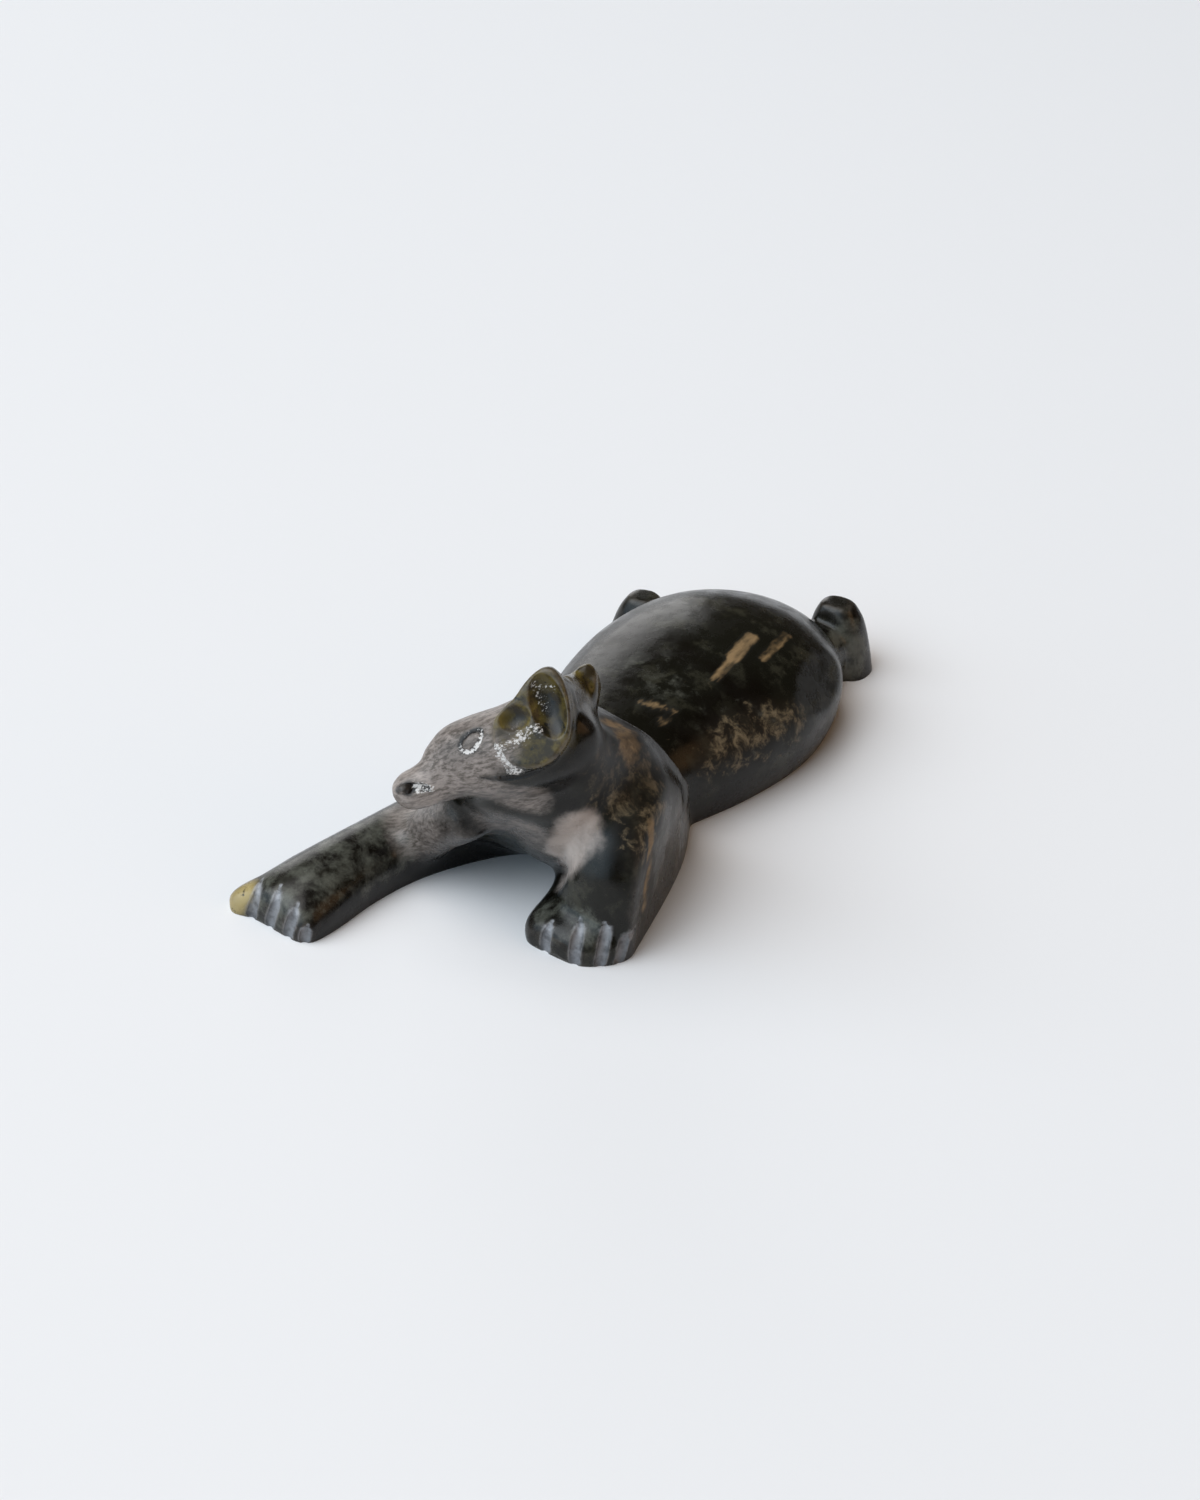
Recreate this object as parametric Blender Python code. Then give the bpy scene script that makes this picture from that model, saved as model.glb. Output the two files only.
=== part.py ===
"""A small soapstone bear, lying stretched out on its belly with its head turned to its right.

One carved stone, one object. +Z is up, the bear faces -Y and its own left side is +X. It is shaped as
rounded limbs run together, with the flat planes and scoops of the carving cut into them. The middle of the
underside of its bounding box is the origin. Sizes in the tables are millimetres, round a point under the
small of the back.
"""

import bmesh
import bpy
import numpy as np
from mathutils import Matrix, Vector

MM = 0.001
RING_SIDES = 28
STEPS_PER_STATION = 5
OUTLINE_STEPS = 4
LIMB_VOXEL = 0.45
BODY_VOXEL = 0.35
HEAD_VOXEL = 0.30
TOE_VOXEL = 0.24
TRIANGLES = 9600
SHARP_EDGE = 0.9
FOOT_SQUARENESS = 2.6
SPARE_DEPTH = -1.0
GROUND_SIZE = (0.2, 0.2, 0.05)
STONE_COLOUR = (0.105, 0.105, 0.09, 1.0)
STONE_ROUGHNESS = 0.34

# A station is (x, y, z, left, right, up, down): a point in the limb and how far the stone reaches from it.
TORSO = (
    (0.0, -14.0, 5.0, 7.6, 8.0, 5.0, 12.0),
    (0.0, -8.0, 5.0, 8.6, 9.2, 5.8, 12.0),
    (0.0, 0.0, 5.0, 11.4, 11.8, 6.8, 12.0),
    (0.0, 8.0, 5.0, 13.0, 12.8, 7.6, 12.0),
    (0.0, 15.0, 4.8, 12.5, 12.0, 7.4, 12.0),
    (0.0, 20.5, 4.4, 10.2, 9.6, 5.8, 11.0),
    (0.0, 25.0, 3.8, 5.8, 5.8, 3.4, 9.0),
    (0.0, 27.0, 3.2, 2.0, 2.0, 1.6, 4.0),
)
CHEST = (
    (0.8, -2.0, 5.0, 8.4, 9.0, 8.5, 11.0),
    (0.8, -8.0, 5.0, 9.8, 9.8, 11.0, 11.0),
    (0.8, -13.0, 5.0, 10.0, 9.8, 11.8, 12.0),
    (0.8, -16.4, 5.0, 8.8, 9.4, 10.6, 12.0),
    (0.8, -18.8, 5.0, 6.4, 7.4, 6.6, 9.0),
)
LEFT_SHOULDER = (
    (5.0, -4.0, 5.0, 4.0, 4.0, 8.0, 9.0),
    (5.4, -9.0, 5.0, 5.4, 5.0, 11.4, 10.0),
    (5.6, -13.5, 5.0, 5.8, 5.0, 12.0, 10.0),
    (6.0, -17.0, 4.6, 5.2, 5.0, 9.0, 10.0),
    (6.6, -20.0, 3.6, 4.0, 4.0, 5.0, 8.0),
)
RIGHT_SHOULDER = (
    (-5.0, -4.0, 4.0, 4.6, 4.4, 4.0, 9.0),
    (-5.4, -9.0, 4.0, 5.0, 5.2, 5.0, 10.0),
    (-5.8, -13.5, 4.4, 5.0, 5.2, 6.2, 10.0),
    (-6.4, -18.0, 4.8, 5.0, 4.6, 7.0, 8.0),
    (-5.8, -21.8, 6.0, 4.4, 4.2, 5.0, 4.6),
    (-4.4, -25.4, 8.4, 3.4, 3.4, 3.4, 3.0),
)
LEFT_ARM = (
    (5.0, -9.0, 4.0, 5.6, 5.0, 6.0, 9.0),
    (6.8, -15.0, 3.6, 5.8, 5.0, 5.6, 9.0),
    (8.2, -19.5, 2.8, 5.8, 5.0, 4.0, 9.0),
    (9.4, -24.0, 1.8, 5.6, 5.0, 3.0, 7.0),
    (9.7, -27.4, 1.4, 5.8, 5.0, 2.5, 6.0),
    (9.5, -30.0, 1.0, 4.7, 4.8, 2.4, 4.0),
    (9.4, -31.8, 0.8, 2.7, 3.6, 1.6, 3.0),
)
RIGHT_ARM = (
    (-4.0, -12.0, 4.0, 5.0, 5.0, 6.0, 9.0),
    (-6.0, -17.0, 4.0, 5.0, 5.0, 5.0, 10.0),
    (-8.6, -22.0, 3.0, 4.4, 4.2, 3.6, 8.0),
    (-10.8, -28.0, 2.3, 3.7, 3.7, 3.5, 7.0),
    (-12.1, -34.0, 2.0, 3.7, 4.0, 3.4, 6.0),
    (-13.1, -39.0, 1.4, 4.4, 4.6, 3.4, 5.0),
    (-13.8, -42.2, 0.9, 4.6, 4.6, 2.9, 4.0),
    (-14.0, -43.6, 0.7, 4.0, 4.0, 1.4, 3.0),
)
OUTER_TOE = (
    (-13.5, -38.0, 1.4, 2.2, 2.2, 2.0, 4.0),
    (-16.6, -41.0, 1.0, 2.2, 2.2, 2.1, 3.0),
    (-19.2, -43.2, 0.4, 1.2, 1.2, 1.1, 3.0),
)
UPPER_ARM = (
    (7.2, -13.0, 7.0, 3.4, 4.0, 3.0, 6.0),
    (8.3, -17.0, 8.0, 5.0, 3.4, 5.4, 7.5),
    (9.7, -20.6, 7.4, 6.0, 3.0, 7.7, 7.0),
    (10.4, -23.6, 5.2, 6.2, 3.2, 7.2, 6.0),
    (10.6, -26.4, 2.6, 5.6, 3.8, 4.8, 4.0),
    (10.4, -28.6, 1.0, 3.6, 3.6, 2.2, 2.0),
)
BREAST = (
    (-9.6, -28.2, 3.0, 2.4, 2.4, 1.4, 2.6),
    (-7.8, -27.9, 4.9, 2.8, 2.8, 1.8, 3.0),
    (-5.8, -28.4, 7.0, 2.8, 2.8, 2.6, 3.0),
    (-3.2, -29.6, 9.4, 2.8, 2.8, 2.6, 3.0),
    (-0.8, -30.7, 11.8, 2.6, 2.6, 2.4, 2.8),
)
NECK = (
    (0.0, -11.0, 7.0, 8.0, 8.0, 8.0, 7.0),
    (1.0, -16.0, 9.6, 8.0, 7.6, 7.0, 9.0),
    (3.2, -21.0, 12.2, 6.8, 7.0, 6.4, 9.0),
    (5.4, -26.0, 15.6, 5.2, 6.2, 5.4, 6.0),
    (6.6, -29.2, 18.0, 4.4, 4.6, 4.0, 3.6),
)
NAPE = (
    (6.0, -13.0, 9.0, 4.5, 4.5, 4.5, 5.0),
    (7.4, -18.0, 12.2, 3.6, 4.4, 4.2, 5.0),
    (8.0, -23.0, 15.6, 2.6, 4.0, 3.6, 5.0),
    (8.0, -26.6, 18.8, 2.5, 3.4, 3.0, 4.0),
    (8.4, -28.2, 21.4, 2.5, 2.6, 3.2, 3.0),
)
THROAT = (
    (-2.5, -14.0, 4.0, 7.0, 6.5, 6.0, 6.0),
    (-2.2, -18.6, 6.5, 8.0, 6.6, 4.6, 6.0),
    (-1.0, -23.5, 10.2, 7.6, 6.0, 3.8, 5.0),
    (0.4, -28.6, 14.4, 6.8, 5.0, 3.2, 4.0),
    (0.6, -31.4, 16.6, 4.8, 3.8, 2.0, 3.0),
)
LEFT_SHANK = (
    (2.5, 17.0, 3.6, 4.5, 4.5, 4.2, 7.0),
    (4.0, 23.0, 3.0, 3.6, 3.4, 3.4, 6.0),
    (4.6, 27.5, 2.6, 3.0, 2.8, 2.8, 6.0),
)
RIGHT_SHANK = (
    (-7.0, 10.0, 3.5, 4.0, 4.0, 4.0, 7.0),
    (-10.0, 14.0, 3.0, 3.4, 3.4, 3.4, 6.0),
    (-12.6, 17.4, 2.6, 2.6, 2.6, 2.8, 6.0),
)

# The hind feet stand on end. Each is a limb lofted along -Y and then stood up, so its -Y is the height.
LEFT_FOOT = (
    (0.0, 1.5, 0.0, 4.0, 3.3, 2.8, 2.9),
    (0.0, 0.0, 0.0, 4.0, 3.3, 2.8, 2.9),
    (0.0, -2.4, 0.0, 3.5, 3.1, 2.5, 2.6),
    (-0.3, -5.6, 0.0, 2.8, 2.6, 2.2, 2.2),
    (-0.4, -7.6, 0.0, 1.7, 1.7, 1.4, 1.4),
)
RIGHT_FOOT = (
    (0.0, 1.5, 0.0, 3.4, 3.9, 3.1, 2.8),
    (0.0, 0.0, 0.0, 3.4, 3.9, 3.1, 2.8),
    (0.2, -2.4, 0.0, 3.1, 3.3, 2.6, 2.5),
    (0.3, -5.2, 0.0, 2.6, 2.5, 2.2, 2.2),
    (0.3, -7.0, 0.0, 1.6, 1.5, 1.4, 1.4),
)
# One flat is taken off the left hip: a point on it, then the way it faces.
HIP_FLAT = ((9.7, 11.0, 10.0), (0.8, 0.15, 0.58))
LEFT_SOLE = (5.0, 29.0, 0.0)
RIGHT_SOLE = (-13.2, 18.6, 0.0)
UPRIGHT = Matrix(((1, 0, 0), (0, 0, -1), (0, -1, 0))).to_4x4()

# The shoulders end behind in one sloping plane, and the left arm outside in an upright wall on this line.
SHOULDER_BACK = (0.0, -6.4, 0.0)
SHOULDER_BACK_LEAN = (0.0, 0.865, 0.50)
ARM_WALL = ((6.4, -2.0), (8.3, -6.0), (10.9, -11.5), (12.9, -18.1), (15.1, -27.4), (17.0, -35.0))
WALL_FAR_CORNERS = [(30.0, -40.0), (30.0, 5.0)]
WALL_HEIGHT = (-5.0, 35.0)

# The head is shaped facing -Y about a point between the ears, then turned, tipped and cocked into place.
HEAD_CENTRE = (5.6, -28.9, 21.2)
HEAD_FORWARD = (-0.800, -0.444, -0.404)
HEAD_UP = (-0.557, 0.263, 0.788)
HEAD = (
    (0.0, 3.9, 1.6, 2.2, 2.2, 1.6, 3.0),
    (0.0, 3.2, 1.2, 3.4, 3.4, 3.1, 4.4),
    (0.0, 1.6, 0.8, 4.3, 4.3, 3.6, 5.2),
    (0.0, 0.0, 0.4, 4.5, 4.5, 3.7, 5.4),
    (0.0, -3.0, 0.0, 4.3, 4.3, 3.7, 4.8),
    (0.0, -6.0, 0.0, 3.6, 3.6, 3.6, 4.0),
    (0.0, -8.2, -0.2, 2.9, 2.9, 3.5, 3.4),
    (0.0, -9.6, -0.5, 2.3, 2.3, 2.9, 3.0),
    (0.0, -11.0, -1.0, 1.9, 1.9, 2.2, 2.6),
    (0.0, -12.6, -1.2, 1.9, 1.9, 1.8, 2.15),
    (0.0, -14.0, -1.1, 1.6, 1.6, 1.5, 1.85),
    (0.0, -15.0, -0.9, 0.8, 0.8, 0.7, 0.8),
)
# Side outlines of each ear with the cheek below it, and of the low web of stone between the ears, and how far
# from the middle of the head to its left each reaches.
LEFT_EAR = ((-3.4, 0.4), (-3.1, 2.2), (-1.9, 3.2), (-0.7, 3.75), (0.4, 4.6), (1.6, 5.35), (2.8, 5.7),
            (3.6, 5.3), (4.05, 4.3), (4.2, 3.1), (4.1, 1.8), (3.8, 0.4), (3.2, -0.9), (1.9, -2.1),
            (0.6, -2.6), (-0.8, -2.6), (-2.4, -1.8))
RIGHT_EAR = ((-1.0, 2.0), (0.6, 3.4), (2.0, 4.2), (3.4, 4.7), (4.3, 5.3), (4.9, 5.4), (5.3, 4.6),
             (5.2, 3.2), (4.7, 1.8), (4.1, 0.4), (3.4, -0.9), (2.0, -2.1), (0.6, -2.6), (-0.8, -2.6),
             (-2.0, -1.2))
WEB = ((1.2, 1.6), (1.8, 3.5), (2.5, 4.4), (3.3, 4.6), (4.0, 4.2), (4.3, 3.2), (4.1, 1.0), (2.4, 0.2))
EAR_PLATES = ((LEFT_EAR, 2.5, 4.9), (RIGHT_EAR, -4.9, -2.4), (WEB, -3.2, 3.0))
# Each scoop is an ellipsoid, taken out of an ear or the left cheek: its radii, then its place.
SCOOPS = (
    ((2.2, 1.95, 3.6), (6.1, 2.25, 2.3)),
    ((3.0, 2.5, 2.0), (7.25, -0.95, 2.1)),
    ((2.2, 1.95, 3.6), (-6.1, 2.25, 2.3)),
)

# Places where one limb flows into the next: a spot and how far round it the surface is eased.
EASED = (
    ((6.9, -28.0, 27.7), 1.6),
    ((5.7, -21.2, 24.9), 2.2),
    ((6.4, -23.3, 26.0), 1.3),
    ((-1.5, -29.5, 14.5), 6.0),
    ((4.5, -31.0, 16.5), 6.0),
    ((9.5, -25.0, 18.5), 6.5),
    ((9.6, -24.0, 8.5), 6.0),
    ((-4.0, -26.5, 8.5), 6.0),
    ((11.3, -21.6, 12.8), 5.5),
    ((10.2, -25.2, 11.0), 5.0),
    ((-5.4, -30.0, 8.6), 5.0),
    ((-9.0, -29.0, 4.5), 4.0),
    ((9.9, -27.4, 18.9), 4.6),
    ((7.6, -30.4, 16.3), 4.5),
    ((9.9, -27.2, 22.3), 3.0),
    ((11.6, -17.6, 11.4), 3.0),
    ((10.9, -21.4, 15.0), 4.6),
    ((9.4, -25.4, 21.4), 3.5),
    ((-0.5, -34.0, 14.8), 3.6),
)
EASING_PASSES = 60

# Grooves between the toes, each along three points from the back of the paw down its front.
TOE_GROOVES = (
    ((-16.5, -41.3, 3.0), (-16.1, -43.1, 2.3), (-16.4, -43.6, 0.4)),
    ((-14.0, -41.8, 3.6), (-13.6, -43.5, 2.6), (-14.2, -43.8, 0.4)),
    ((-11.6, -42.5, 3.1), (-11.5, -43.7, 2.1), (-11.9, -44.0, 0.4)),
    ((-10.0, -43.2, 1.9), (-9.9, -43.7, 1.2), (-10.0, -43.8, 0.4)),
    ((8.4, -30.6, 2.8), (8.4, -31.3, 1.8), (8.3, -31.7, 0.4)),
    ((10.8, -29.5, 3.6), (11.4, -31.2, 2.7), (11.6, -32.0, 0.4)),
    ((12.6, -27.8, 3.7), (13.5, -29.8, 2.9), (14.0, -31.1, 0.4)),
    ((14.1, -27.2, 3.1), (14.8, -28.6, 2.3), (15.2, -29.4, 0.4)),
)
GROOVE_RADIUS = 0.5
GROOVE_FOOT = (0.0, -0.1, -1.6)


def catmull_rom(values, steps):
    """Values spread along a smooth curve through every row."""
    rows = np.array(values)
    rows = np.vstack((2 * rows[0] - rows[1], rows, 2 * rows[-1] - rows[-2]))
    spread = []
    for a, b, c, d in zip(rows, rows[1:], rows[2:], rows[3:]):
        for t in np.arange(steps) / steps:
            spread.append(0.5 * (2 * b + (c - a) * t + (2 * a - 5 * b + 4 * c - d) * t * t
                                 + (3 * b - a - 3 * c + d) * t ** 3))
    spread.append(rows[-2])
    return np.array(spread)


def new_object(name, bm):
    mesh = bpy.data.meshes.new(name)
    bm.to_mesh(mesh)
    bm.free()
    obj = bpy.data.objects.new(name, mesh)
    bpy.context.scene.collection.objects.link(obj)
    return obj


def loft(bm, stations, place=Matrix(), square=2.0):
    """A closed limb skinned over rings, one ring at each station and a few between."""
    rows = catmull_rom(stations, STEPS_PER_STATION)
    centres = [Vector(row[:3]) for row in rows]
    rings = []
    for i, (row, centre) in enumerate(zip(rows, centres)):
        ahead = (centres[min(i + 1, len(rows) - 1)] - centres[max(i - 1, 0)]).normalized()
        side = Vector((0, 0, 1)).cross(ahead).normalized()
        if ahead.y > 0:
            side = -side
        up = side.cross(ahead).normalized()
        if up.z < 0:
            up = -up
        left, right, high, low = row[3:]
        verts = bmesh.ops.create_circle(bm, segments=RING_SIDES, radius=1.0)["verts"]
        for vert in verts:
            x, y = (abs(value) ** (2 / square) * (1 if value > 0 else -1) for value in vert.co.xy)
            across = side * (x * (left if x > 0 else right))
            vert.co = place @ ((centre + across + up * (y * (high if y > 0 else low))) * MM)
        rings.append(list({edge for vert in verts for edge in vert.link_edges}))
    for a, b in zip(rings, rings[1:]):
        bmesh.ops.bridge_loops(bm, edges=a + b)
    for ring in (rings[0], rings[-1]):
        bmesh.ops.edgeloop_fill(bm, edges=ring)
    bmesh.ops.recalc_face_normals(bm, faces=bm.faces)


def prism(bm, outline, low, high, across, up, place=Matrix()):
    """A closed outline, given along two axes, stretched from one height to another along the third."""
    axis = across.cross(up)
    verts = [bm.verts.new(place @ ((across * a + up * b + axis * low) * MM)) for a, b in outline]
    made = bmesh.ops.extrude_face_region(bm, geom=[bm.faces.new(verts)])["geom"]
    moved = [item for item in made if isinstance(item, bmesh.types.BMVert)]
    bmesh.ops.translate(bm, verts=moved, vec=place.to_3x3() @ (axis * ((high - low) * MM)))
    bmesh.ops.recalc_face_normals(bm, faces=bm.faces)


def head_matrix():
    forward = Vector(HEAD_FORWARD).normalized()
    left = Vector(HEAD_UP).cross(forward).normalized()
    turn = Matrix((left, -forward, forward.cross(left))).transposed().to_4x4()
    return Matrix.Translation(Vector(HEAD_CENTRE) * MM) @ turn


def apply(obj, kind, **settings):
    """Shapes an object's mesh with one modifier."""
    modifier = obj.modifiers.new(kind, kind)
    for name, value in settings.items():
        setattr(modifier, name, value)
    depsgraph = bpy.context.evaluated_depsgraph_get()
    mesh = bpy.data.meshes.new_from_object(obj.evaluated_get(depsgraph))
    obj.modifiers.clear()
    obj.data = mesh


def join(obj, other, operation):
    apply(obj, "BOOLEAN", operation=operation, object=other, solver="EXACT")
    bpy.data.objects.remove(other)


def even_out(obj, voxel, passes):
    """Remakes a surface as one even skin and smooths it."""
    apply(obj, "REMESH", mode="VOXEL", voxel_size=voxel * MM)
    apply(obj, "SMOOTH", factor=0.5, iterations=passes)


def ease(obj, spot, reach):
    """Smooths the stone round one spot, less and less towards the reach."""
    group = obj.vertex_groups.new(name="ease")
    for vert in obj.data.vertices:
        near = 1 - (vert.co / MM - Vector(spot)).length / reach
        if near > 0:
            group.add([vert.index], min(1.0, 2 * near), "REPLACE")
    apply(obj, "SMOOTH", factor=0.5, iterations=EASING_PASSES, vertex_group="ease")
    obj.vertex_groups.clear()


def half_space(obj, point, normal):
    """Cuts an object off flat at a plane."""
    bm = bmesh.new()
    bm.from_mesh(obj.data)
    bmesh.ops.bisect_plane(bm, geom=bm.verts[:] + bm.edges[:] + bm.faces[:], plane_co=Vector(point) * MM,
                           plane_no=Vector(normal), clear_outer=True)
    filled = bmesh.ops.holes_fill(bm, edges=[e for e in bm.edges if e.is_boundary])["faces"]
    bmesh.ops.triangulate(bm, faces=filled)
    bm.to_mesh(obj.data)
    bm.free()


def shoulders_and_arms():
    bm = bmesh.new()
    for limb in (CHEST, LEFT_SHOULDER, RIGHT_SHOULDER, LEFT_ARM, RIGHT_ARM, OUTER_TOE, UPPER_ARM, BREAST):
        loft(bm, limb)
    for limb in (NECK, NAPE, THROAT):
        loft(bm, limb)
    front = new_object("front", bm)
    even_out(front, LIMB_VOXEL, 20)
    half_space(front, SHOULDER_BACK, SHOULDER_BACK_LEAN)
    wall = bmesh.new()
    line = [tuple(point) for point in catmull_rom(ARM_WALL, STEPS_PER_STATION)]
    prism(wall, line + WALL_FAR_CORNERS, *WALL_HEIGHT, Vector((1, 0, 0)), Vector((0, 1, 0)))
    join(front, new_object("wall", wall), "DIFFERENCE")
    return front


def rump_and_hind_feet():
    bm = bmesh.new()
    for limb in (TORSO, LEFT_SHANK, RIGHT_SHANK):
        loft(bm, limb)
    rear = new_object("rear", bm)
    even_out(rear, LIMB_VOXEL, 12)
    half_space(rear, *HIP_FLAT)
    feet = bmesh.new()
    for sole, stations in ((LEFT_SOLE, LEFT_FOOT), (RIGHT_SOLE, RIGHT_FOOT)):
        loft(feet, stations, Matrix.Translation(Vector(sole) * MM) @ UPRIGHT, FOOT_SQUARENESS)
    join(rear, new_object("feet", feet), "UNION")
    return rear


def head_and_ears():
    place = head_matrix()
    bm = bmesh.new()
    loft(bm, HEAD, place)
    for corners, low, high in EAR_PLATES:
        outline = [tuple(point) for point in catmull_rom(corners + corners[:1], OUTLINE_STEPS)[:-1]]
        prism(bm, outline, low, high, Vector((0, 1, 0)), Vector((0, 0, 1)), place)
    head = new_object("head", bm)
    even_out(head, HEAD_VOXEL, 3)
    for radii, centre in SCOOPS:
        size = Matrix.Diagonal((*(radius * MM for radius in radii), 1.0))
        scoop = bmesh.new()
        spot = place @ Matrix.Translation(Vector(centre) * MM) @ size
        bmesh.ops.create_uvsphere(scoop, u_segments=32, v_segments=16, radius=1.0, matrix=spot)
        join(head, new_object("scoop", scoop), "DIFFERENCE")
    return head


def toe_grooves():
    bm = bmesh.new()
    for points in TOE_GROOVES:
        foot = tuple(a + b for a, b in zip(points[-1], GROOVE_FOOT))
        loft(bm, [(*point, *(GROOVE_RADIUS,) * 4) for point in (*points, foot)])
    return new_object("grooves", bm)


def ground():
    bm = bmesh.new()
    size = Matrix.Diagonal((*GROUND_SIZE, 1.0))
    middle = Matrix.Translation((0, 0, -GROUND_SIZE[2] / 2))
    bmesh.ops.create_cube(bm, size=1.0, matrix=middle @ size)
    return new_object("ground", bm)


def main():
    for old in list(bpy.data.objects):
        bpy.data.objects.remove(old)
    bear = shoulders_and_arms()
    join(bear, rump_and_hind_feet(), "UNION")
    even_out(bear, BODY_VOXEL, 4)
    join(bear, head_and_ears(), "UNION")
    apply(bear, "REMESH", mode="VOXEL", voxel_size=BODY_VOXEL * MM)
    for spot, reach in EASED:
        ease(bear, spot, reach)
    apply(bear, "SMOOTH", factor=0.5, iterations=2)
    join(bear, toe_grooves(), "DIFFERENCE")
    even_out(bear, TOE_VOXEL, 1)
    half_space(bear, (0, 0, SPARE_DEPTH), (0, 0, -1))
    bear.data.calc_loop_triangles()
    apply(bear, "DECIMATE", ratio=TRIANGLES / len(bear.data.loop_triangles))
    join(bear, ground(), "DIFFERENCE")
    corners = [Vector(corner) for corner in bear.bound_box]
    middle = (corners[0] + corners[6]) / 2
    bear.data.transform(Matrix.Translation((-middle.x, -middle.y, 0.0)))
    for polygon in bear.data.polygons:
        polygon.use_smooth = True
    bear.data.set_sharp_from_angle(angle=SHARP_EDGE)
    stone = bpy.data.materials.new("stone")
    stone.use_nodes = True
    shader = stone.node_tree.nodes["Principled BSDF"]
    shader.inputs["Base Color"].default_value = STONE_COLOUR
    shader.inputs["Roughness"].default_value = STONE_ROUGHNESS
    bear.data.materials.clear()
    bear.data.materials.append(stone)
    bear.name = "bear_carving"


main()
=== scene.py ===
from math import cos, pi, radians, sin

import bmesh
import bpy
import numpy as np
from mathutils import Matrix, Quaternion, Vector
from mathutils.bvhtree import BVHTree


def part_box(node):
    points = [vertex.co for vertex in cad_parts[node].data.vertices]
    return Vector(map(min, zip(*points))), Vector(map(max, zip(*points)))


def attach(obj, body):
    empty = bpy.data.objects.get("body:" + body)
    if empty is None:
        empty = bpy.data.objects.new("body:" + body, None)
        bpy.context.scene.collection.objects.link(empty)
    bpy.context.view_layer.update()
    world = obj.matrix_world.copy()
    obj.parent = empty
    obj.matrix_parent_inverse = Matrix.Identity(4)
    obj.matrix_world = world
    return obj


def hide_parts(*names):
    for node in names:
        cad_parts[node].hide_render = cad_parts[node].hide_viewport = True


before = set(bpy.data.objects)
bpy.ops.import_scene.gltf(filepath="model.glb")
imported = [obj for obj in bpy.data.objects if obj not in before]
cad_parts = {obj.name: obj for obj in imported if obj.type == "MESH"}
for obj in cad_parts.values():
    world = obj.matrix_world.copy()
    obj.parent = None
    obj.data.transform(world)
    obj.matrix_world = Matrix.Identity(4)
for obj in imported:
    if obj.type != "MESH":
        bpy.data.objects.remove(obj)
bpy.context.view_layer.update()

mm = 0.001  # the carving is shaped in millimetres, the frame is in metres

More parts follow.
